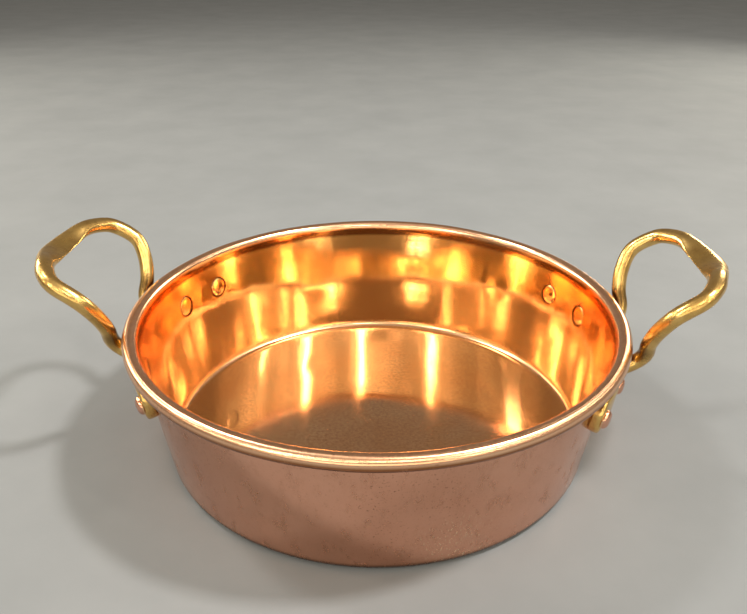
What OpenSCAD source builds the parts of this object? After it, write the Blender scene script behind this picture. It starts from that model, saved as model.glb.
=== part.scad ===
// Two-handled copper pan: a spun sheet body with its rim rolled over a wire, and two cast brass
// handles, each held by four copper rivets.
// Origin: centre of the flat underside. +X runs through the handles, +Z is up. Millimetres.

/* [Pan] */
// Outside diameter over the rolled rim
rim_d = 320; // [300:2:360]
// Height from the underside to the top of the rolled rim
pan_h = 91; // [86:1:110]
// Outside diameter at the round corner of the base
base_d = 281; // [262:1:286]
// Thickness of the copper sheet
sheet_t = 1.5; // [1.2:0.1:2]
// Outside radius of the round corner between base and wall
corner_r = 6; // [4:0.5:9]

/* [Rolled rim] */
// Outside thickness of the rolled rim
bead_d = 9.2; // [8:0.2:10]
// How far the sheet is rolled round the wire, in degrees
curl_angle = 305; // [285:1:306]
// Gap between the wire and the sheet round it
wire_gap = 0.1; // [0.05:0.05:0.2]

/* [Handle feet] */
// Height of the rivets above the underside
rivet_z = 64; // [60:1:68]
// Angle round the pan from the middle of a handle to its nearer rivets
rivet_near = 17; // [15:0.5:19]
// Angle round the pan from the middle of a handle to its farther rivets
rivet_far = 31.5; // [29:0.5:36]
// Angle round the pan at which a foot starts, behind its heel
foot_start = 8; // [7:0.5:9]
// Height of a foot, measured up the wall
foot_w = 22; // [18:0.5:24]
// Thickness of a foot
foot_t = 6.5; // [5:0.5:7]
// Width of the chamfers along the outer edges of a foot
foot_chamfer = 1.5; // [0.5:0.5:2]
// Radius of a foot's blunt far end
end_r = 14; // [13:0.5:18]
// How far a foot runs past the middle of its farther rivet
foot_tip = 6.5; // [6:0.5:10]

/* [Rivets] */
// Diameter of a rivet's shank
rivet_d = 7; // [5:0.5:8]
// Diameter of the domed head outside
dome_d = 11.5; // [10:0.5:13]
// Height of the domed head outside
dome_h = 3.6; // [2.5:0.1:4.5]
// Diameter of the flat head inside
flat_d = 13.5; // [11:0.5:14]
// How deep the flat head is let into the wall
flat_depth = 0.6; // [0.4:0.1:0.8]
// How far the middle of the flat head stands out of the wall
flat_crown = 0.4; // [0.3:0.1:0.6]

/* [Handle loop] */
// Width of the broad grip, from its thin inner lip to its round outer side
grip_w = 18.5; // [16:0.5:22]
// Thickness of the broad grip along its round outer side
grip_t = 13; // [10:0.5:14]
// Thickness of a leg
leg_t = 10; // [9:0.5:11]
// Sides of the bar's section
bar_sides = 16; // [12:4:20]
// Steps along the bar between two of its stations
bar_steps = 4; // [3:1:5]

/* [Hidden] */
SIDES = ["left", "right"];
// The middle of each handle, as an angle round the pan.
SIDE_ANGLES = [180, 0];
// Each handle's rivets, as angles from the middle of the handle.
RIVET_ANGLES = [-rivet_far, -rivet_near, rivet_near, rivet_far];

copper = "#c8713f";
copper_light = "#d98f5c";
brass = "#c9a14a";
steel = "#8a8a88";

round_fn = 96;
bead_steps = 28;
corner_steps = 6;
clear = 0.05; // air between a rivet and its holes
cut = 1; // how far a cutting shape passes the surface that it cuts

bead_r = bead_d / 2;
wire_r = bead_r - sheet_t - wire_gap;
bead_at = [rim_d / 2 - bead_r, pan_h - bead_r];
corner_at = [base_d / 2 - corner_r, corner_r];
corner_in_r = corner_r - sheet_t;

// The wall's inner face is one straight line that touches the bead on its inner side and the
// corner round on its outer side. wall_lean is its angle from the vertical.
centre_gap = bead_at - corner_at;
wall_lean = acos((bead_r + corner_in_r) / norm(centre_gap)) - atan2(centre_gap[1], centre_gap[0]);
wall_up = [sin(wall_lean), cos(wall_lean)];
wall_out = [cos(wall_lean), -sin(wall_lean)];

// Radius of the wall's outer face at a height.
function wall_r(z) =
    let (touch = bead_at - (bead_r - sheet_t) * wall_out)
    touch[0] + (z - touch[1]) * tan(wall_lean);

// Points on a round stretch of an outline.
function arc(centre, r, from, to, steps) =
    [for (i = [0:steps]) let (a = from + (to - from) * i / steps) centre + r * [cos(a), sin(a)]];

// The loop's centre line and section, from the middle of the grip down one leg to the foot:
// [outward, sideways, up, width, thickness, lean, thinning]. Outward is from the pan's axis and
// sideways from the middle of the handle. Lean is the angle of the section's top face normal,
// 90 facing up and 180 facing the pan. Thinning flattens the section's inner edge.
STATIONS = [
    [206.5, 0, 124, grip_w, grip_t, 90, 0.75],
    [204, 15, 125.5, grip_w - 3, grip_t, 95, 0.7],
    [200.3, 29, 127.5, grip_w - 7, grip_t - 1, 98, 0.3],
    [195, 40.5, 126.5, leg_t + 1.3, leg_t + 0.5, 105, 0.1],
    [187, 49, 122.8, leg_t + 0.4, leg_t, 125, 0],
    [173.5, 50.3, 113.5, leg_t, leg_t, 150, 0],
    [167, 45, 101, leg_t - 0.2, leg_t - 0.2, 170, 0],
    [165, 38, 88.5, leg_t - 0.6, leg_t - 0.4, 180, 0],
    [166, 32.5, 78.5, leg_t - 0.6, leg_t - 0.4, 184, 0],
    [163.5, 29, 71.5, leg_t - 0.4, leg_t - 0.2, 205, 0],
    [156.5, 29.2, 67.5, leg_t, leg_t, 245, 0],
    [149.8, 31, 66, leg_t, leg_t, 262, 0]
];
LAST = len(STATIONS) - 1;
// The whole loop, from one foot to the other.
LOOP = concat(
    [for (i = [LAST:-1:1]) mirror_station(STATIONS[i])],
    STATIONS
);

function mirror_station(s) = [for (i = [0:len(s) - 1]) i == 1 ? -s[i] : s[i]];
function clamp_index(i) = max(0, min(len(LOOP) - 1, i));

// A smooth curve through the loop's stations, at station i plus a share t of the next step.
function smooth(i, t) =
    let (
        a = LOOP[clamp_index(i - 1)],
        b = LOOP[i],
        c = LOOP[clamp_index(i + 1)],
        d = LOOP[clamp_index(i + 2)]
    )
    0.5 * (2 * b + (c - a) * t + (2 * a - 5 * b + 4 * c - d) * t * t
        + (3 * b - a - 3 * c + d) * t * t * t);

function point_of(s) = [s[0], s[1], s[2]];
function unit(v) = v / norm(v);

// One ring of the bar's section at row s, square to the direction of the centre line.
function section(s, along) =
    let (
        top = [cos(s[5]), 0, sin(s[5])],
        across = unit(cross(top, along)),
        up = cross(along, across)
    )
    [for (k = [0:bar_sides - 1])
        let (
            a = 360 * k / bar_sides,
            side = cos(a),
            thin = 1 - s[6] * (1 + side) / 2
        )
        point_of(s) + across * (s[3] / 2) * side + up * (s[4] / 2) * sin(a) * thin
    ];

module bar_loop() {
    rows = concat(
        [for (i = [0:len(LOOP) - 2]) for (j = [0:bar_steps - 1]) smooth(i, j / bar_steps)],
        [LOOP[len(LOOP) - 1]]
    );
    last_row = len(rows) - 1;
    rings = [for (i = [0:last_row])
        let (ahead = rows[min(i + 1, last_row)], behind = rows[max(i - 1, 0)])
        section(rows[i], unit(point_of(ahead) - point_of(behind)))
    ];
    points = [for (ring = rings) each ring];
    sides = [for (i = [0:last_row - 1]) for (k = [0:bar_sides - 1])
        let (
            a = i * bar_sides + k,
            b = i * bar_sides + (k + 1) % bar_sides,
            c = a + bar_sides,
            d = b + bar_sides
        )
        each [[a, d, b], [a, c, d]]
    ];
    first_end = [for (k = [0:bar_sides - 1]) k];
    second_end = [for (k = [bar_sides - 1:-1:0]) last_row * bar_sides + k];
    polyhedron(points, concat(sides, [first_end, second_end]));
}

// Puts a rivet's own frame on the wall: local +Z runs out of the wall, and local Z 0 is its outer face.
module at_rivet(angle) {
    rotate([0, 0, angle])
        translate([wall_r(rivet_z), 0, rivet_z])
            rotate([0, 90 + wall_lean, 0])
                children();
}

// The outline of a foot's section, flat against the wall, with its two outer edges chamfered.
module foot_outline() {
    low = [wall_r(rivet_z), rivet_z] - wall_up * foot_w / 2;
    high = low + wall_up * foot_w;
    polygon([
        low,
        low + wall_out * (foot_t - foot_chamfer),
        low + wall_out * foot_t + wall_up * foot_chamfer,
        high + wall_out * foot_t - wall_up * foot_chamfer,
        high + wall_out * (foot_t - foot_chamfer),
        high
    ]);
}

// One foot, on the side that way names: 1 or -1. Its far end is rounded, a little past a rivet.
module foot(way) {
    reach = 2 * foot_w;
    beyond = rivet_far + 8;
    from = way > 0 ? foot_start : -beyond;
    intersection() {
        rotate([0, 0, from])
            rotate_extrude(angle = beyond - foot_start, $fn = round_fn)
                foot_outline();
        at_rivet(way * rivet_far)
            translate([0, way * (foot_tip - end_r), 0]) {
                cylinder(r = end_r, h = reach, center = true, $fn = round_fn);
                translate([-reach, way > 0 ? -3 * reach : 0, -reach])
                    cube([2 * reach, 3 * reach, 2 * reach]);
            }
    }
}

module rivet_hole(angle) {
    hole_h = foot_t + 4 * cut;
    at_rivet(angle)
        translate([0, 0, -2 * cut])
            cylinder(d = rivet_d + 2 * clear, h = hole_h, $fn = round_fn);
}

// A flat seat for the domed head, just deep enough to clear the foot's curve.
module dome_seat(angle) {
    seat_depth = 0.2;
    at_rivet(angle)
        translate([0, 0, foot_t - seat_depth])
            cylinder(d = dome_d + 4 * clear, h = seat_depth + cut, $fn = round_fn);
}

// A shallow round recess in the wall's inner face for the flat head.
module flat_seat(angle) {
    at_rivet(angle)
        translate([0, 0, -sheet_t - cut])
            cylinder(d = flat_d + 2 * clear, h = flat_depth + cut, $fn = round_fn);
}

module pan_body() {
    color(copper)
        difference() {
            rotate_extrude($fn = round_fn)
                sheet_outline();
            for (side = SIDE_ANGLES) {
                for (angle = RIVET_ANGLES) {
                    rivet_hole(side + angle);
                    flat_seat(side + angle);
                }
            }
        }
}

// The sheet's section: base, corner round, leaning wall and the curl over the wire.
module sheet_outline() {
    curl_from = 180 - wall_lean;
    curl_to = curl_from - curl_angle;
    polygon(concat(
        [[0, 0]],
        arc(corner_at, corner_r, -90, -wall_lean, corner_steps),
        arc(bead_at, bead_r - sheet_t, curl_from, curl_to, bead_steps),
        arc(bead_at, bead_r, curl_to, curl_from, bead_steps),
        arc(corner_at, corner_in_r, -wall_lean, -90, corner_steps),
        [[0, sheet_t]]
    ));
}

module rim_wire() {
    color(steel)
        rotate_extrude($fn = round_fn)
            translate(bead_at)
                circle(r = wire_r, $fn = round_fn);
}

module handle(side_angle) {
    color(brass)
        rotate([0, 0, side_angle])
            difference() {
                union() {
                    bar_loop();
                    foot(1);
                    foot(-1);
                }
                for (angle = RIVET_ANGLES) {
                    rivet_hole(angle);
                    dome_seat(angle);
                }
            }
}

// A rivet: domed head outside, shank, and a wide flat head let into the wall inside.
module rivet(angle) {
    seat_z = foot_t - 0.2;
    dome_r = ((dome_d / 2) * (dome_d / 2) + dome_h * dome_h) / (2 * dome_h);
    dome_half = asin(dome_d / 2 / dome_r);
    flat_r = flat_d / 2;
    flat_top = -sheet_t + flat_depth;
    flat_edge = -sheet_t - 0.1;
    color(copper_light)
        at_rivet(angle)
            rotate_extrude($fn = round_fn)
                polygon(concat(
                    [
                        [0, -sheet_t - flat_crown],
                        [flat_r * 0.6, -sheet_t - flat_crown + 0.05],
                        [flat_r, flat_edge],
                        [flat_r, flat_top],
                        [rivet_d / 2, flat_top],
                        [rivet_d / 2, seat_z]
                    ],
                    arc([0, seat_z + dome_h - dome_r], dome_r, 90 - dome_half, 90, 10)
                ));
}

pan_body();
rim_wire();
for (s = [0:len(SIDES) - 1]) {
    handle(SIDE_ANGLES[s]);
    for (i = [0:len(RIVET_ANGLES) - 1])
        rivet(SIDE_ANGLES[s] + RIVET_ANGLES[i]);
}
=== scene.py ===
import math

import bpy
import bmesh
import numpy as np
from mathutils import Matrix, Vector, noise


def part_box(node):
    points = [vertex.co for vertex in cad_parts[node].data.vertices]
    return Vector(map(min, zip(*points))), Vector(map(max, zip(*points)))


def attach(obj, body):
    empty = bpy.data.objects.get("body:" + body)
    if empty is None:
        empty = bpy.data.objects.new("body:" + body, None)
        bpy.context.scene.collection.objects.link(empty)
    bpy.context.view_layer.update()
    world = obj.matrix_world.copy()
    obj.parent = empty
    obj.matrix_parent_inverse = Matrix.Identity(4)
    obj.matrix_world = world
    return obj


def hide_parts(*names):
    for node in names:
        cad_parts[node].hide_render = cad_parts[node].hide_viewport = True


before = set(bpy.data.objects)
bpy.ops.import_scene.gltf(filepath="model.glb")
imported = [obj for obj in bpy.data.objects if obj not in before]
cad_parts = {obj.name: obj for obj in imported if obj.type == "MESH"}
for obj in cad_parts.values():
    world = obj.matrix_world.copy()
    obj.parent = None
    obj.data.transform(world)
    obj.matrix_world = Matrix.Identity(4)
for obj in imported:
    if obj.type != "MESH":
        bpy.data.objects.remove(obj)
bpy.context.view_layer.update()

# A two-handled copper pan with brass handles. Metres, +Z up, +X through the handles.

# ---------------------------------------------------------------- sizes
MM = 0.001
pan_low, pan_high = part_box("pan_body")
RIM_R = pan_high.x                      # outside radius over the rolled rim
PAN_H = pan_high.z                      # height to the top of the rolled rim
BASE_R = 140.5 * MM                     # outside radius at the base's round corner
SHEET = 1.5 * MM                        # thickness of the copper sheet
CORNER_R = 6 * MM                       # outside radius of the round corner
BEAD_R = 4.6 * MM                       # outside radius of the rolled rim's own section
CURL = math.radians(305)                # how far the sheet is rolled round the wire

RIVET_Z = 64 * MM
RIVET_NEAR = math.radians(17)
RIVET_FAR = math.radians(31.5)
RIVET_ANGLES = (-RIVET_FAR, -RIVET_NEAR, RIVET_NEAR, RIVET_FAR)
SHANK_R = 3.5 * MM
FLAT_R = 6.6 * MM                       # a rivet's flat head, inside the pan
DOME_R = 5.75 * MM                      # a rivet's domed head, outside
DOME_H = 3.6 * MM

FOOT_W = 22 * MM
FOOT_T = 6.5 * MM
FOOT_START = math.radians(8)
FOOT_END_R = 14 * MM                    # radius of a foot's blunt far end
FOOT_TIP = 6.5 * MM                     # how far a foot runs past its farther rivet

SIDES = {"right": 0.0, "left": math.pi}

# The wall's inner face is a straight line that touches the rim's curl and the corner round.
BEAD_AT = (RIM_R - BEAD_R, PAN_H - BEAD_R)
CORNER_AT = (BASE_R - CORNER_R, CORNER_R)
CORNER_IN = CORNER_R - SHEET
GAP = (BEAD_AT[0] - CORNER_AT[0], BEAD_AT[1] - CORNER_AT[1])
LEAN = math.acos((BEAD_R + CORNER_IN) / math.hypot(*GAP)) - math.atan2(GAP[1], GAP[0])
UP = (math.sin(LEAN), math.cos(LEAN))   # up along the wall, in (radius, height)
OUT = (math.cos(LEAN), -math.sin(LEAN)) # straight out of the wall
TOUCH = (BEAD_AT[0] - (BEAD_R - SHEET) * OUT[0], BEAD_AT[1] - (BEAD_R - SHEET) * OUT[1])


def wall_r(z):
    """Radius of the wall's outer face at height z."""
    return TOUCH[0] + (z - TOUCH[1]) * math.tan(LEAN)


# ---------------------------------------------------------------- small helpers
def new_object(name, verts, faces, sharp=None):
    """A mesh object with every face smooth, and edges sharper than the angle kept sharp."""
    mesh = bpy.data.meshes.new(name)
    mesh.from_pydata([tuple(v) for v in verts], [], faces)
    work = bmesh.new()
    work.from_mesh(mesh)
    loose = [v for v in work.verts if not v.link_faces]
    bmesh.ops.delete(work, geom=loose, context="VERTS")
    bmesh.ops.recalc_face_normals(work, faces=work.faces)
    work.to_mesh(mesh)
    work.free()
    mesh.polygons.foreach_set("use_smooth", [True] * len(mesh.polygons))
    if sharp is not None:
        mesh.set_sharp_from_angle(angle=math.radians(sharp))
    obj = bpy.data.objects.new(name, mesh)
    bpy.context.scene.collection.objects.link(obj)
    return obj


def wobble(x, y, z, seed):
    """Smooth noise from about -1 to 1."""
    return noise.noise(Vector((x + 17.3 * seed, y - 5.1 * seed, z + 3.7 * seed)))


def smoothstep(low, high, x):
    t = min(1.0, max(0.0, (x - low) / (high - low)))
    return t * t * (3 - 2 * t)


# ---------------------------------------------------------------- copper sheet
SEGMENTS = 400                          # cells round the pan
UNDER_ROWS, CORNER_ROWS, WALL_ROWS = 12, 12, 42
CURL_IN_ROWS, CURL_OUT_ROWS, FLOOR_ROWS = 24, 56, 44
PATCH = 5                               # half a rivet patch's side, in cells
PATCH_RINGS = ((8.6, 0), (7.7, 0), (7.2, 0.03), (7.15, 0.2), (7.1, 0.6))
# The rings round a flat head: radius and depth, down to the bottom of its seam (mm).


def sheet_profile():
    """Rows of the sheet's section: (radius, height, out_r, out_z, zone)."""
    rows = []

    def add(r, z, out_r, out_z, zone):
        rows.append((r, z, out_r, out_z, zone))

    def arc(centre, radius, start, stop, steps, zone, outward):
        for i in range(steps + 1):
            a = start + (stop - start) * i / steps
            add(centre[0] + radius * math.cos(a), centre[1] + radius * math.sin(a),
                outward * math.cos(a), outward * math.sin(a), zone)

    for i in range(UNDER_ROWS):
        add(CORNER_AT[0] * i / UNDER_ROWS, 0, 0, -1, "base")
    arc(CORNER_AT, CORNER_R, -math.pi / 2, -LEAN, CORNER_ROWS, "corner", 1)
    low = (CORNER_AT[0] + CORNER_R * OUT[0], CORNER_AT[1] + CORNER_R * OUT[1])
    for i in range(1, WALL_ROWS):
        t = i / WALL_ROWS
        add(low[0] + (TOUCH[0] - low[0]) * t, low[1] + (TOUCH[1] - low[1]) * t, *OUT, "wall")
    first = math.pi - LEAN
    arc(BEAD_AT, BEAD_R - SHEET, first, first - CURL, CURL_IN_ROWS, "bead", -1)
    arc(BEAD_AT, BEAD_R, first - CURL, first, CURL_OUT_ROWS, "bead", 1)
    top = (BEAD_AT[0] - BEAD_R * OUT[0], BEAD_AT[1] - BEAD_R * OUT[1])
    low = (CORNER_AT[0] + CORNER_IN * OUT[0], CORNER_AT[1] + CORNER_IN * OUT[1])
    for i in range(1, WALL_ROWS):
        t = i / WALL_ROWS
        add(top[0] + (low[0] - top[0]) * t, top[1] + (low[1] - top[1]) * t, *OUT, "inner_wall")
    arc(CORNER_AT, CORNER_IN, -LEAN, -math.pi / 2, CORNER_ROWS, "corner", 1)
    for i in range(1, FLOOR_ROWS + 1):
        add(CORNER_AT[0] * (1 - i / FLOOR_ROWS), SHEET, 0, -1, "base")
    return rows


# Shallow dents in the wall: place round the pan (radians), height, size and depth (mm).
DENTS = [(-1.25, 74, 7, 0.35), (-1.05, 70, 5, -0.3), (-1.9, 30, 9, 0.3), (-2.4, 66, 8, 0.35),
         (0.9, 52, 9, 0.4), (2.0, 40, 10, 0.35), (2.7, 68, 7, -0.3), (1.4, 60, 12, 0.15)]


def sheet_wave(angle, r, z, zone):
    """How far the hand-worked sheet stands off its true shape, along the outward direction."""
    x, y = math.cos(angle), math.sin(angle)
    if zone == "base":
        away = smoothstep(0, 0.03, CORNER_AT[0] - r)
        flat = wobble(x * r * 14, y * r * 14, 0, 5) + 0.35 * wobble(x * r * 50, y * r * 30, 0, 6)
        return -away * MM * 0.2 * (1.4 + flat)
    rise = smoothstep(0.004, 0.02, z)
    near = min(abs((angle - side - a + math.pi) % (2 * math.pi) - math.pi)
               for side in SIDES.values() for a in RIVET_ANGLES)
    calm = smoothstep(0.03, 0.12, math.hypot(near, (z - RIVET_Z) / RIM_R))
    wave = 0.32 * wobble(x * 3.2, y * 3.2, z * 6, 1) + 0.1 * wobble(x * 9, y * 9, z * 14, 2)
    wave += 0.028 * wobble(x * 26, y * 26, z * 22, 3)
    for dent_angle, dent_z, size, deep in DENTS:
        turn = (angle - dent_angle + math.pi) % (2 * math.pi) - math.pi
        far = (turn * RIM_R) ** 2 + (z - dent_z * MM) ** 2
        wave -= deep * math.exp(-far / (size * MM) ** 2)
    if zone == "bead":
        wave = 0.3 * wobble(x * 3.2, y * 3.2, 0.5, 1) + 0.05 * wobble(x * 14, y * 14, z * 160, 4)
        return wave * MM
    top = smoothstep(0, 0.012, PAN_H - 2 * BEAD_R - z)
    rim = 0.3 * wobble(x * 3.2, y * 3.2, 0.5, 1)
    return rise * MM * (top * (calm * wave) + (1 - top) * rim)


def sheet_point(row, angle, deeper=0.0):
    """A point of the worked sheet at an angle round the pan."""
    r, z, out_r, out_z, zone = row
    move = sheet_wave(angle, r, z, zone) + deeper
    r, z = r + out_r * move, z + out_z * move
    return (r * math.cos(angle), r * math.sin(angle), z)


def make_sheet():
    """The whole sheet as one closed skin, with a seam round each flat rivet head inside."""
    rows = sheet_profile()
    verts, faces, index = [], [], []
    for row in rows:
        if row[0] < 1e-9:
            index.append([len(verts)] * SEGMENTS)
            verts.append((0, 0, row[1]))
        else:
            index.append(list(range(len(verts), len(verts) + SEGMENTS)))
            verts += [sheet_point(row, 2 * math.pi * j / SEGMENTS) for j in range(SEGMENTS)]

    inner = [i for i, row in enumerate(rows) if row[4] == "inner_wall"]
    cut = set()
    patches = []
    face_at = wall_r(RIVET_Z)
    seat = (face_at - SHEET * OUT[0], RIVET_Z - SHEET * OUT[1])
    for side in SIDES.values():
        for a in RIVET_ANGLES:
            centre = (side + a) % (2 * math.pi)
            j0 = round(centre / (2 * math.pi) * SEGMENTS)
            i0 = min(inner, key=lambda i: abs(rows[i][1] - seat[1]))
            cut |= {(i, j % SEGMENTS) for i in range(i0 - PATCH, i0 + PATCH)
                    for j in range(j0 - PATCH, j0 + PATCH)}
            patches.append((centre, i0, j0))
    for i in range(len(rows) - 1):
        for j in range(SEGMENTS):
            if (i, j) in cut:
                continue
            n = (j + 1) % SEGMENTS
            ring = [index[i][j], index[i][n], index[i + 1][n], index[i + 1][j]]
            ring = [v for at, v in enumerate(ring) if v not in ring[:at]]
            faces.append(ring)
    for centre, i0, j0 in patches:
        edge = [(i0 - PATCH, j) for j in range(j0 - PATCH, j0 + PATCH)]
        edge += [(i, j0 + PATCH) for i in range(i0 - PATCH, i0 + PATCH)]
        edge += [(i0 + PATCH, j) for j in range(j0 + PATCH, j0 - PATCH, -1)]
        edge += [(i, j0 - PATCH) for i in range(i0 + PATCH, i0 - PATCH, -1)]
        last = [index[i][j % SEGMENTS] for i, j in edge]
        turns = []                      # the way from the rivet to each point of the edge
        for i, j in edge:
            along = rows[i][0] * (2 * math.pi * j / SEGMENTS - centre)
            climb = (rows[i][0] - seat[0]) * UP[0] + (rows[i][1] - seat[1]) * UP[1]
            turns.append(math.atan2(climb, along))
        for radius, deep in PATCH_RINGS:
            ring = []
            for turn in turns:
                climb = radius * MM * math.sin(turn)
                r, z = seat[0] + UP[0] * climb, seat[1] + UP[1] * climb
                angle = centre + radius * MM * math.cos(turn) / r
                ring.append(len(verts))
                verts.append(sheet_point((r, z, *OUT, "inner_wall"), angle, deep * MM))
            count = len(ring)
            faces += [[last[n], last[(n + 1) % count], ring[(n + 1) % count], ring[n]]
                      for n in range(count)]
            last = ring
        faces.append(last)
    return new_object("copper_sheet", verts, faces, sharp=50)


# ---------------------------------------------------------------- brass handles
# The loop's centre line and section, from the middle of the grip down one leg to the foot:
# outward, sideways, up, width, thickness (mm), lean of the top face (degrees), thinning.
STATIONS = [
    (206.5, 0, 124, 18.5, 13, 90, 0.8),
    (204, 15, 125.5, 15.5, 13, 95, 0.74),
    (200.3, 29, 127.5, 11.5, 12, 98, 0.3),
    (195, 40.5, 126.5, 11.3, 10.5, 105, 0.1),
    (187, 49, 122.8, 10.4, 10, 125, 0),
    (173.5, 50.3, 113.5, 10, 10, 150, 0),
    (167, 45, 101, 9.8, 9.8, 170, 0),
    (165, 38, 88.5, 9.4, 9.6, 180, 0),
    (166, 32.5, 78.5, 9.4, 9.6, 184, 0),
    (163.5, 29, 71.5, 9.6, 9.8, 205, 0),
    (156.5, 29.2, 67.5, 10, 10, 245, 0),
    (149.8, 31, 66, 10, 10, 262, 0),
]
BAR_SIDES = 40
BAR_STEPS = 10                          # rings between two stations


def loop_rows():
    """The stations of the whole loop, mirrored and joined by a smooth curve."""
    table = [np.array(s, float) for s in STATIONS]
    flip = np.array([1, -1, 1, 1, 1, 1, 1.0])
    full = [s * flip for s in table[:0:-1]] + table
    rows = []
    for i in range(len(full) - 1):
        a, b = full[max(i - 1, 0)], full[i]
        c, d = full[i + 1], full[min(i + 2, len(full) - 1)]
        for j in range(BAR_STEPS):
            t = j / BAR_STEPS
            rows.append(0.5 * (2 * b + (c - a) * t + (2 * a - 5 * b + 4 * c - d) * t * t
                               + (3 * b - a - 3 * c + d) * t ** 3))
    return rows + [full[-1]]


def make_bar(verts, faces):
    """The loop: an oval bar, whose section is thinned towards its inner edge at the grip."""
    rows = loop_rows()
    start = len(verts)
    for i, row in enumerate(rows):
        ahead, behind = rows[min(i + 1, len(rows) - 1)], rows[max(i - 1, 0)]
        along = Vector(ahead[:3] - behind[:3]).normalized()
        lean = math.radians(row[5])
        across = Vector((math.cos(lean), 0, math.sin(lean))).cross(along).normalized()
        up = along.cross(across)
        for k in range(BAR_SIDES):
            a = 2 * math.pi * k / BAR_SIDES
            thin = 1 - row[6] * (1 + math.cos(a)) / 2
            point = Vector(row[:3]) + across * (row[3] / 2 * math.cos(a))
            point += up * (row[4] / 2 * math.sin(a) * thin)
            verts.append(point * MM)
    for i in range(len(rows) - 1):
        for k in range(BAR_SIDES):
            n = (k + 1) % BAR_SIDES
            a, b = start + i * BAR_SIDES + k, start + i * BAR_SIDES + n
            faces.append([a, b, b + BAR_SIDES, a + BAR_SIDES])
    faces.append(list(range(start + BAR_SIDES - 1, start - 1, -1)))
    end = start + (len(rows) - 1) * BAR_SIDES
    faces.append(list(range(end, end + BAR_SIDES)))


FOOT_STEPS, FOOT_ACROSS = 48, 16        # cells along and across a foot
FOOT_IN = 0.3 * MM                      # how far a foot is bedded into the wall
FOOT_EASE = 2 * MM                      # length of the thinner edge at the far end


def make_foot(verts, faces, way):
    """One foot: a strap with a blunt far end, bent to the wall, slightly crowned outside."""
    face_r = wall_r(RIVET_Z)
    reach = RIVET_FAR + (FOOT_TIP - FOOT_IN) / face_r
    middle = FOOT_TIP - FOOT_END_R
    start = len(verts)
    for i in range(FOOT_STEPS + 1):
        share = math.sin(math.pi / 2 * i / FOOT_STEPS) ** 0.8
        angle = FOOT_START + (reach - FOOT_START) * share
        past = (angle - RIVET_FAR) * face_r - middle
        half = FOOT_W / 2
        if past > 0:
            half = min(half, math.sqrt(max(FOOT_END_R ** 2 - past ** 2, FOOT_EASE ** 2)))
        edge = min(1.0, (reach - angle) * face_r / FOOT_EASE)
        thick = FOOT_T * (0.8 + 0.2 * math.sqrt(edge))
        section = []
        for k in range(FOOT_ACROSS + 1):
            t = math.sin(math.pi / 2 * (2 * k / FOOT_ACROSS - 1))
            section.append((t * half, thick * (1 - 0.25 * abs(t) ** 8)))
        section += [(half, -FOOT_IN), (-half, -FOOT_IN)]
        for climb, out in section:
            r = face_r + UP[0] * climb + OUT[0] * out
            z = RIVET_Z + UP[1] * climb + OUT[1] * out
            verts.append(Vector((r * math.cos(way * angle), r * math.sin(way * angle), z)))
    size = FOOT_ACROSS + 3
    for i in range(FOOT_STEPS):
        for k in range(size):
            n = (k + 1) % size
            a, b = start + i * size + k, start + i * size + n
            faces.append([a, b, b + size, a + size])
    faces.append(list(range(start + size - 1, start - 1, -1)))
    end = start + FOOT_STEPS * size
    faces.append(list(range(end, end + size)))


def closed_mesh(build):
    """A mesh of one closed solid with its faces turned outwards."""
    verts, faces = [], []
    build(verts, faces)
    mesh = bpy.data.meshes.new("part")
    mesh.from_pydata([tuple(v) for v in verts], [], faces)
    work = bmesh.new()
    work.from_mesh(mesh)
    bmesh.ops.recalc_face_normals(work, faces=work.faces)
    work.to_mesh(mesh)
    work.free()
    return mesh


CAST_VOXEL = 0.7 * MM
CAST_SOFT, CAST_ROUNDS = 0.5, 7
CAST_WAVES = ((48, 0.16), (130, 0.07), (420, 0.02))
# The cast surface's unevenness: waves per metre and height (mm).


def make_handle(side, turn):
    """One casting: the bar and its two feet fused, with soft fillets where they meet."""
    work = bmesh.new()
    for build in (make_bar, lambda v, f: make_foot(v, f, 1), lambda v, f: make_foot(v, f, -1)):
        work.from_mesh(closed_mesh(build))
    mesh = bpy.data.meshes.new("brass_handle_" + side)
    work.to_mesh(mesh)
    work.free()
    obj = bpy.data.objects.new("brass_handle_" + side, mesh)
    bpy.context.scene.collection.objects.link(obj)
    remesh = obj.modifiers.new("fuse", "REMESH")
    remesh.mode = "VOXEL"
    remesh.voxel_size = CAST_VOXEL
    soft = obj.modifiers.new("soften", "SMOOTH")
    soft.factor, soft.iterations = CAST_SOFT, CAST_ROUNDS
    fused = obj.evaluated_get(bpy.context.evaluated_depsgraph_get())
    done = bpy.data.meshes.new_from_object(fused)
    obj.modifiers.clear()
    obj.data = done
    count = len(done.vertices)
    points = np.empty(count * 3)
    done.vertices.foreach_get("co", points)
    points = points.reshape(-1, 3)
    normals = np.empty(count * 3)
    done.vertices.foreach_get("normal", normals)
    normals = normals.reshape(-1, 3)
    seed = 20 if side == "left" else 30
    lift = np.array([sum(high * wobble(*(p * fine), seed + n)
                         for n, (fine, high) in enumerate(CAST_WAVES)) for p in points])
    points = points + normals * (lift * MM)[:, None]
    spin = np.array(Matrix.Rotation(turn, 3, "Z"))
    done.vertices.foreach_set("co", (points @ spin.T).ravel())
    done.polygons.foreach_set("use_smooth", [True] * len(done.polygons))
    done.update()
    return obj


# ---------------------------------------------------------------- copper rivets
RIVET_SIDES = 56
DOME_STEPS = 11
DOME_FROM = math.radians(4)
HEAD_IN = 0.25 * MM                     # how far a domed head is bedded into the foot
# A flat head's section: share of its radius, and height over the inner face (mm).
FLAT_HEAD = [(0, -0.24), (0.4, -0.22), (0.7, -0.16), (0.88, -0.08), (0.96, 0.02), (1, 0.16),
             (1, 0.55)]


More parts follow.
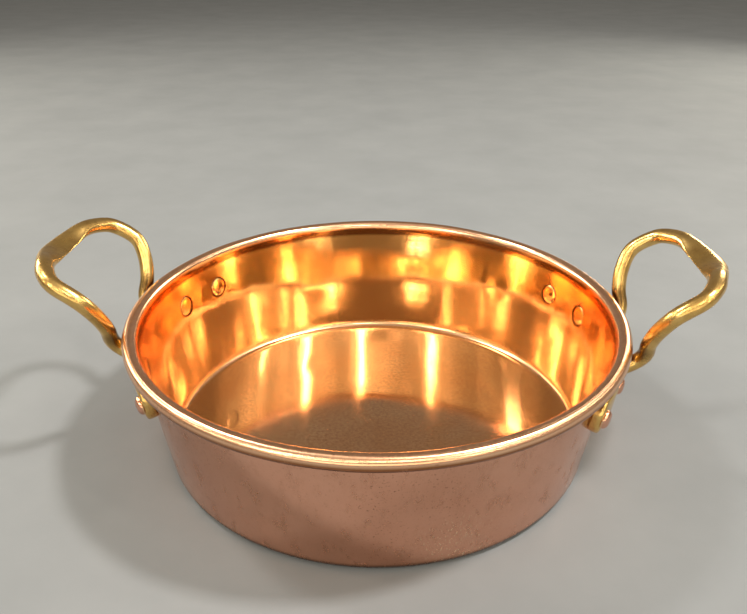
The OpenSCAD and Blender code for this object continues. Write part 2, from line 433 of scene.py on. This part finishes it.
def make_rivet(name, turn, seed):
    """One rivet. Local +Z runs out of the wall, and 0 is the wall's outer face."""
    seat = FOOT_T - HEAD_IN
    profile = [(share * FLAT_R, -SHEET + z * MM) for share, z in FLAT_HEAD]
    profile += [(SHANK_R, -SHEET + 0.6 * MM), (SHANK_R, seat), (DOME_R * 0.985, seat)]
    for i in range(DOME_STEPS + 1):
        a = DOME_FROM + (math.pi / 2 - DOME_FROM) * i / DOME_STEPS
        flat = 1 - 0.12 * math.sin(a) ** 6
        profile.append((DOME_R * math.cos(a) ** 0.9, FOOT_T + DOME_H * math.sin(a) * flat))
    profile[-1] = (0, profile[-1][1])
    frame_z = Vector((OUT[0], 0, OUT[1]))
    frame_y = Vector((0, 1, 0))
    frame_x = frame_y.cross(frame_z)
    base = Vector((wall_r(RIVET_Z), 0, RIVET_Z))
    verts, faces, index = [], [], []
    for radius, z in profile:
        if radius < 1e-9:
            index.append([len(verts)] * RIVET_SIDES)
            spots = [(0, 0)]
        else:
            index.append(list(range(len(verts), len(verts) + RIVET_SIDES)))
            spots = [(radius * math.cos(a), radius * math.sin(a))
                     for a in (2 * math.pi * k / RIVET_SIDES for k in range(RIVET_SIDES))]
        for x, y in spots:
            dome = z > seat
            rough = 0.16 if dome else 0.04
            grow = 1 + (0.02 * wobble(x * 200, y * 200, 1, seed) if dome else 0)
            lift = rough * MM * wobble(x * 330, y * 330, z * 200, seed)
            if not dome and z > -SHEET:
                lift = 0
            point = base + frame_x * (x * grow) + frame_y * (y * grow) + frame_z * (z + lift)
            verts.append(Matrix.Rotation(turn, 3, "Z") @ point)
    for i in range(len(profile) - 1):
        for k in range(RIVET_SIDES):
            n = (k + 1) % RIVET_SIDES
            ring = [index[i][k], index[i][n], index[i + 1][n], index[i + 1][k]]
            ring = [v for at, v in enumerate(ring) if v not in ring[:at]]
            faces.append(ring)
    return new_object(name, verts, faces, sharp=48)


# ---------------------------------------------------------------- materials
class Nodes:
    """A short way to write a material's or the world's nodes."""

    def __init__(self, tree):
        self.tree = tree

    def add(self, kind, inputs=None, **settings):
        node = self.tree.nodes.new(kind)
        for key, value in settings.items():
            setattr(node, key, value)
        for key, value in (inputs or {}).items():
            self.put(node.inputs[key], value)
        return node

    def put(self, socket, value):
        if isinstance(value, bpy.types.NodeSocket):
            self.tree.links.new(value, socket)
        else:
            socket.default_value = value

    def math(self, operation, a, b=0.0, c=0.5, clamp=False):
        node = self.add("ShaderNodeMath", {0: a, 1: b, 2: c}, operation=operation, use_clamp=clamp)
        return node.outputs[0]

    def vector(self, operation, a, b=(0, 0, 0)):
        node = self.add("ShaderNodeVectorMath", {0: a, 1: b}, operation=operation)
        return node.outputs["Value" if operation in ("LENGTH", "DOT_PRODUCT") else "Vector"]

    def noise(self, vector, scale, detail=2.0, rough=0.5):
        node = self.add("ShaderNodeTexNoise", {"Vector": vector, "Scale": scale,
                                               "Detail": detail, "Roughness": rough})
        return node.outputs["Fac"]

    def ramp(self, value, stops):
        """Straight steps between stops of (value, grey or colour)."""
        node = self.add("ShaderNodeValToRGB", {"Fac": value})
        bar = node.color_ramp.elements
        while len(bar) < len(stops):
            bar.new(0.5)
        for element, (at, colour) in zip(bar, stops):
            element.position = at
            element.color = (*colour, 1) if isinstance(colour, tuple) else (colour,) * 3 + (1,)
        return node.outputs["Color"]

    def ramp_mm(self, length, full, stops):
        """A ramp over a length from 0 to full, with stops of (mm, grey)."""
        share = self.math("MULTIPLY", length, 1 / (full * MM))
        return self.ramp(share, [(at / full, grey) for at, grey in stops])

    def fade(self, value, start, stop, low=0.0, high=1.0, kind="SMOOTHSTEP"):
        node = self.add("ShaderNodeMapRange", {"Value": value, "From Min": start, "From Max": stop,
                                               "To Min": low, "To Max": high},
                        interpolation_type=kind)
        return node.outputs["Result"]

    def mix(self, share, a, b):
        node = self.add("ShaderNodeMix", data_type="RGBA")
        self.put(node.inputs["Factor"], share)
        self.put(node.inputs[6], a)
        self.put(node.inputs[7], b)
        return node.outputs[2]

    def over(self, base, mask, amount, colour):
        """A colour laid over the base where the mask is."""
        return self.mix(self.math("MULTIPLY", mask, amount), base, colour)

    def bump(self, height, distance, normal=None):
        node = self.add("ShaderNodeBump", {"Height": height, "Distance": distance, "Strength": 1.0})
        if normal is not None:
            self.put(node.inputs["Normal"], normal)
        return node.outputs["Normal"]


def rgb(r, g, b):
    return (r, g, b, 1)


def start_material(name, metallic=1.0):
    """A new material, its nodes, its shader's inputs and the place on the object."""
    material = bpy.data.materials.new(name)
    material.use_nodes = True
    n = Nodes(material.node_tree)
    shader = n.tree.nodes["Principled BSDF"]
    shader.inputs["Metallic"].default_value = metallic
    return material, n, shader.inputs, n.add("ShaderNodeTexCoord").outputs["Object"]


# Clean copper and copper under a thin brown film.
INSIDE = (rgb(0.97, 0.69, 0.40), rgb(0.95, 0.60, 0.30))
FLOOR = (rgb(0.94, 0.58, 0.33), rgb(0.88, 0.47, 0.24))
OUTSIDE = (rgb(0.82, 0.44, 0.30), rgb(0.72, 0.36, 0.235))
RIM = (rgb(0.94, 0.58, 0.36), rgb(0.86, 0.47, 0.28))

NICKS_TURN = math.radians(-70)
NICKS_AT = (BASE_R * math.cos(NICKS_TURN), BASE_R * math.sin(NICKS_TURN), 16 * MM)


def copper_material(name):
    """Copper sheet, bright inside and duller outside, with wiping lines and film, painted shade
    under the rim and round the bottom edge, and a darker inside corner.
    """
    material, n, shader, at = start_material(name)
    height = n.add("ShaderNodeSeparateXYZ", {0: at}).outputs["Z"]
    normal = n.add("ShaderNodeNewGeometry").outputs["Normal"]
    flat = n.vector("MULTIPLY", at, (1, 1, 0))
    radius = n.vector("LENGTH", flat)
    level = n.math("ABSOLUTE", n.vector("DOT_PRODUCT", normal, (0, 0, 1)))

    # Where each part of the sheet is, from 0 to 1.
    on_base = n.math("SMOOTH_MIN", n.math("MULTIPLY_ADD", level, 4, -1.6), 1, 0.5, clamp=True)
    outside = n.math("MULTIPLY", n.vector("DOT_PRODUCT", normal, flat), 20, clamp=True)
    on_bead = n.ramp_mm(height, 100, [(85.2, 0.0), (86.6, 1.0)])
    worn = n.math("MULTIPLY", outside, n.math("SUBTRACT", 1.0, on_bead))
    # Painted shade: a dark band all round just under the bead's middle, 80 to 87 mm high.
    under_bead_shade = n.ramp_mm(height, 100, [(80, 0.0), (82, 1.0), (85.6, 1.0), (87.2, 0.0)])
    # Painted shade: a dark line in the crease under the rolled rim, 79 to 84.5 mm high.
    crease_shade = n.ramp_mm(height, 100, [(79, 0.0), (81.2, 1.0), (83.4, 0.9), (84.5, 0.0)])
    # Painted contact shade: the base's bottom edge darkened from 3.5 to 6 mm high.
    sole_shade = n.ramp_mm(height, 100, [(3.5, 1.0), (6, 0.0)])
    # The inside corner round the base: rougher, and its darker tint is partly polish residue,
    # partly painted shade.
    corner = n.math("MULTIPLY", n.ramp_mm(height, 100, [(5, 1.0), (8, 0.0)]),
                    n.ramp(level, [(0.92, 1.0), (0.99, 0.0)]))

    # The dark seam round each flat rivet head. Folding the place covers all four quarters.
    folded = n.vector("ABSOLUTE", at)
    seat = wall_r(RIVET_Z) - SHEET
    near = [n.vector("LENGTH", n.vector("SUBTRACT", folded,
                                        (seat * math.cos(a), seat * math.sin(a), RIVET_Z)))
            for a in (RIVET_NEAR, RIVET_FAR)]
    seam = n.ramp_mm(n.math("MINIMUM", *near), 20, [(6.4, 0.0), (6.9, 1.0), (7.4, 1.0), (8, 0.0)])

    # Noises: wiping lines along the wall and round the base, film, scuffs, pits and nicks.
    wall_lines = n.noise(n.vector("MULTIPLY", at, (45, 45, 620)), 1, 3, 0.6)
    rings = n.add("ShaderNodeCombineXYZ", {0: n.math("MULTIPLY", radius, 420)}).outputs[0]
    drift = n.vector("MULTIPLY", at, (35, 35, 0))
    ring_lines = n.noise(n.vector("ADD", rings, drift), 1, 3, 0.6)
    lines = n.mix(on_base, wall_lines, ring_lines)
    film = n.noise(at, 16, 4, 0.6)
    filmed = n.ramp(film, [(0.35, 0.0), (0.7, 1.0)])
    specks = n.noise(n.vector("MULTIPLY", at, (1, 1, 0.6)), 900, 1)
    speckle = n.math("MULTIPLY", n.ramp(n.noise(at, 520, 4, 0.7), [(0.44, 0.0), (0.62, 1.0)]),
                     on_base)
    scuff = n.noise(n.vector("MULTIPLY", at, (1, 1, 0.5)), 130, 6, 0.75)
    scuffs = n.math("MULTIPLY", n.ramp(scuff, [(0.50, 0.0), (0.66, 1.0)]), worn)
    nick = n.noise(n.vector("MULTIPLY", at, (1, 1, 0.4)), 1250, 1)
    nicks_far = n.vector("LENGTH", n.vector("SUBTRACT", at, NICKS_AT))
    nicks = n.math("MULTIPLY", n.ramp(nick, [(0.62, 0.0), (0.66, 1.0)]),
                   n.math("MULTIPLY", n.ramp_mm(nicks_far, 40, [(8.3, 1.0), (28.3, 0.0)]), worn))
    pits = n.math("MULTIPLY", n.ramp(n.noise(at, 900), [(0.31, 1.0), (0.36, 0.0)]),
                  n.math("MULTIPLY", outside, n.ramp(film, [(0.45, 0.15), (0.62, 0.75)])))

    inside = n.mix(on_base, n.mix(filmed, *INSIDE), n.mix(filmed, *FLOOR))
    base = n.mix(worn, inside, n.mix(filmed, *OUTSIDE))
    base = n.mix(on_bead, base, n.mix(filmed, *RIM))
    # Painted shade: dark brown laid over the band under the bead's middle.
    base = n.over(base, under_bead_shade, 0.9, rgb(0.30, 0.10, 0.025))
    # Partly polish residue, partly painted shade: a darker tint in the inside corner.
    base = n.over(base, corner, 0.35, rgb(0.62, 0.30, 0.15))
    # Painted shade: near-black in the crease under the rim and round the bottom edge, on the
    # outside only.
    painted_shade = n.math("MULTIPLY", n.math("ADD", crease_shade, sole_shade), outside)
    base = n.over(base, painted_shade, 0.9, rgb(0.09, 0.03, 0.014))
    base = n.over(base, speckle, 0.3, rgb(0.45, 0.2, 0.1))
    base = n.over(base, scuffs, 0.4, rgb(0.55, 0.27, 0.16))
    base = n.over(base, nicks, 1.0, rgb(0.98, 0.68, 0.44))
    base = n.over(base, pits, 1.0, rgb(0.25, 0.11, 0.06))
    n.put(shader["Base Color"], n.over(base, seam, 0.85, rgb(0.10, 0.035, 0.015)))

    rough = n.math("MULTIPLY_ADD", film, 0.08, 0.05)
    rough = n.math("MULTIPLY_ADD", outside, 0.05, rough)
    rough = n.math("MULTIPLY_ADD", scuffs, 0.18, rough)
    rough = n.math("MULTIPLY_ADD", n.math("MAXIMUM", on_bead, corner), 0.1, rough)
    n.put(shader["Roughness"], rough)
    shader["Anisotropic"].default_value = 0.8
    round_axis = n.add("ShaderNodeTangent", direction_type="RADIAL", axis="Z")
    n.put(shader["Tangent"], round_axis.outputs[0])

    # From broad to fine: hammered flutes, nicks, wiping lines and specks.
    flutes = n.noise(n.vector("MULTIPLY", at, (150, 150, 11)), 1)
    fluted = n.math("MULTIPLY", flutes, n.math("SUBTRACT", 1.0, on_base))
    bump = n.bump(fluted, 0.05 * MM)
    bump = n.bump(nicks, 0.12 * MM, bump)
    bump = n.bump(lines, 0.012 * MM, bump)
    n.put(shader["Normal"], n.bump(specks, 0.006 * MM, bump))
    return material


HEEL_AT = (162 * MM, 33 * MM, 84 * MM)  # the crook between a leg and the rim, darkened with painted shade


def brass_material():
    """Cast brass, polished by hand: uneven tone, painted shade in the crooks and fine cross
    scratches.
    """
    material, n, shader, at = start_material("cast_brass")
    film = n.noise(at, 30, 4, 0.6)
    base = n.mix(n.ramp(film, [(0.35, 0.0), (0.68, 1.0)]),
                 rgb(0.84, 0.57, 0.21), rgb(0.71, 0.44, 0.13))
    pits = n.ramp(n.noise(at, 700), [(0.25, 0.8), (0.30, 0.0)])
    base = n.mix(pits, base, rgb(0.3, 0.17, 0.05))
    smudges = n.ramp(n.noise(at, 110, 5, 0.7), [(0.46, 0.0), (0.66, 0.6)])
    base = n.mix(smudges, base, rgb(0.52, 0.30, 0.09))
    # Painted shade: the crook between each leg and the rim darkened to near black-brown.
    heel = n.vector("LENGTH", n.vector("SUBTRACT", n.vector("ABSOLUTE", at), HEEL_AT))
    crook_shade = n.ramp_mm(heel, 20, [(5, 1.0), (11, 0.0)])
    n.put(shader["Base Color"], n.over(base, crook_shade, 0.85, rgb(0.12, 0.06, 0.02)))
    n.put(shader["Roughness"], n.ramp(film, [(0.3, 0.2), (0.75, 0.32)]))
    filed = n.bump(n.noise(at, 240, 3, 0.6), 0.06 * MM)
    scratches = n.noise(n.vector("MULTIPLY", at, (900, 240, 900)), 1, 3, 0.65)
    n.put(shader["Normal"], n.bump(scratches, 0.02 * MM, filed))
    return material


def steel_material():
    """Plain drawn wire."""
    material, n, shader, at = start_material("steel_wire")
    grain = n.noise(at, 600)
    n.put(shader["Base Color"], n.ramp(grain, [(0.3, 0.42), (0.7, 0.52)]))
    n.put(shader["Roughness"], n.ramp(grain, [(0.3, 0.3), (0.7, 0.42)]))
    return material


def floor_material():
    """A plain pale floor with a faint mottle."""
    material, n, shader, at = start_material("pale_floor", metallic=0.0)
    tone = n.noise(at, 9, 5, 0.6)
    n.put(shader["Base Color"], n.ramp(tone, [(0.3, (0.185, 0.20, 0.215)),
                                              (0.7, (0.21, 0.226, 0.242))]))
    shader["Roughness"].default_value = 0.8
    shader["Specular IOR Level"].default_value = 0.25
    return material


# ---------------------------------------------------------------- camera, floor, light
CAMERA_FAR = 0.485                      # from the lens to the point it looks at
CAMERA_DOWN = math.radians(26.94)
CAMERA_TURN = math.radians(2.75)
CAMERA_ROLL = math.radians(0.136)
CAMERA_LENS = 35.793                    # mm on a 36 mm sensor
CAMERA_SHIFT = -0.00482
AIM_Z = 0.0892


def make_camera():
    data = bpy.data.cameras.new("camera")
    data.sensor_width = 36
    data.lens = CAMERA_LENS
    data.shift_x = CAMERA_SHIFT
    data.clip_start, data.clip_end = 0.01, 50
    camera = bpy.data.objects.new("camera", data)
    bpy.context.scene.collection.objects.link(camera)
    look = Vector((-math.sin(CAMERA_TURN) * math.cos(CAMERA_DOWN),
                   math.cos(CAMERA_TURN) * math.cos(CAMERA_DOWN), -math.sin(CAMERA_DOWN)))
    camera.location = Vector((0, 0, AIM_Z)) - look * CAMERA_FAR
    turn = look.to_track_quat("-Z", "Y").to_matrix() @ Matrix.Rotation(CAMERA_ROLL, 3, "Z")
    camera.rotation_euler = turn.to_euler()
    bpy.context.scene.camera = camera


LIGHT_AIM = Vector((0, 0, 0.05))
LAMPS = [("key", (1.0, -0.08, 1.86), 0.22, 40), ("second", (-1.1, 0.3, 1.6), 0.25, 14)]
LAMP_COLOUR = (1.0, 0.93, 0.84)

# Softboxes that the copper mirrors: turn from the camera's side, rise, width, height (degrees)
# and radiance.
STRIPS = [(14, 47, 2.6, 15, 32), (55, 46, 2.6, 16, 26), (-37, 46, 2, 14, 28),
          (-42, 33, 3, 9, 40), (88, 40, 3, 12, 16), (-93, 34, 3, 12, 44), (41, 26, 4, 12, 14),
          (-36, 26, 4, 10, 12), (-14, 36, 2, 8, 24), (104, 30, 2, 10, 20), (63, 28, 2, 8, 12),
          (146, 21, 5, 12, 24), (-114, 20, 18, 14, 8.5), (137, 20, 14, 14, 8.5),
          (-126, 23, 5, 12, 28), (-70, 27, 3, 10, 14), (0, 13, 70, 18, 1.6)]
STRIP_FAR = 2.2
STRIP_COLOUR = (1.0, 0.90, 0.72)

# The glow's share at heights of the sky: start, stop, share before, share after.
SKY_STEPS = [(0.74, 0.87, 1.0, 0.35), (0.06, 0.25, 0.3, 1.0), (0.44, 0.66, 0.36, 1.0)]
# Dim patches: turn, rise, inner and outer radius (degrees), and what is left of the glow.
SKY_GAPS = [(10, 28, 8, 22, 0.3), (-86, 46, 12, 30, 0.4)]
SKY_GREY = 0.24

FLOOR_R = 20.0
FLOOR_SIDES = 96


def toward(turn, rise):
    """The direction at a turn from the camera's side and a rise, in degrees."""
    turn, rise = math.radians(turn), math.radians(rise)
    return Vector((math.sin(turn) * math.cos(rise), -math.cos(turn) * math.cos(rise),
                   math.sin(rise)))


def softbox(name, place, size, power, colour):
    data = bpy.data.lights.new(name, "AREA")
    data.shape = "RECTANGLE"
    data.size, data.size_y = size
    data.energy = power
    data.color = colour
    lamp = bpy.data.objects.new(name, data)
    bpy.context.scene.collection.objects.link(lamp)
    lamp.location = place
    lamp.rotation_euler = (LIGHT_AIM - place).to_track_quat("-Z", "Y").to_euler()
    lamp.visible_camera = False


def make_sky():
    """Soft grey behind the pan, a warm glow on the camera's side, with broad upright bands."""
    world = bpy.data.worlds.new("studio")
    world.use_nodes = True
    bpy.context.scene.world = world
    n = Nodes(world.node_tree)
    way = n.add("ShaderNodeTexCoord").outputs["Generated"]
    split = n.add("ShaderNodeSeparateXYZ", {0: way})
    front = n.fade(split.outputs["Y"], 0.55, -0.1)
    bands = n.noise(n.vector("MULTIPLY", way, (5.5, 5.5, 1.2)), 1)
    glow = n.math("MULTIPLY", front, n.fade(bands, 0.35, 0.65, 0.45, 1.15, kind="LINEAR"))
    for start, stop, before, after in SKY_STEPS:
        step = n.fade(split.outputs["Z"], start, stop, before, after)
        glow = n.math("MULTIPLY", glow, step)
    for turn, rise, inner, outer, left in SKY_GAPS:
        close = n.vector("DOT_PRODUCT", way, toward(turn, rise))
        gap = n.fade(close, math.cos(math.radians(outer)), math.cos(math.radians(inner)), 1.0, left)
        glow = n.math("MULTIPLY", glow, gap)
    background = n.tree.nodes["Background"].inputs
    n.put(background["Color"], n.mix(front, rgb(1.0, 0.86, 0.70), rgb(1.0, 0.90, 0.74)))
    n.put(background["Strength"], n.math("ADD", glow, SKY_GREY))


def make_stage():
    """The floor, the sky and the lamps."""
    edge = [2 * math.pi * k / FLOOR_SIDES for k in range(FLOOR_SIDES)]
    floor = new_object("floor", [(FLOOR_R * math.cos(a), FLOOR_R * math.sin(a), 0) for a in edge],
                       [list(range(FLOOR_SIDES))])
    floor.data.materials.append(floor_material())
    make_sky()
    for name, place, size, power in LAMPS:
        softbox(name, Vector(place), (size, size), power, LAMP_COLOUR)
    for count, (turn, rise, wide, tall, radiance) in enumerate(STRIPS, 1):
        size = (STRIP_FAR * math.radians(wide), STRIP_FAR * math.radians(tall))
        power = radiance * math.pi * size[0] * size[1]
        softbox(f"strip_{count}", toward(turn, rise) * STRIP_FAR, size, power, STRIP_COLOUR)


# ---------------------------------------------------------------- assembly
def finish_piece(obj, material, slot, *nodes):
    obj.data.materials.clear()
    obj.data.materials.append(material)
    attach(obj, "root")
    if nodes:
        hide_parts(*nodes)


make_camera()
make_stage()

copper = copper_material("polished_copper")
rivet_copper = copper_material("rivet_copper")
brass = brass_material()

finish_piece(make_sheet(), copper, "copper_sheet", "pan_body")
for side, turn in SIDES.items():
    finish_piece(make_handle(side, turn), brass, "cast_brass", "handle_" + side)
    for count, angle in enumerate(RIVET_ANGLES, 1):
        name = f"rivet_{side}_{count}"
        piece = make_rivet("hammered_" + name, turn + angle, 40 + 7 * count + len(side))
        finish_piece(piece, rivet_copper, "rivet_copper", name)

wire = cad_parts["rim_wire"]
wire.data.materials.clear()
wire.data.materials.append(steel_material())

bpy.context.scene.view_settings.view_transform = "Standard"
bpy.context.scene.cycles.glossy_bounces = 8
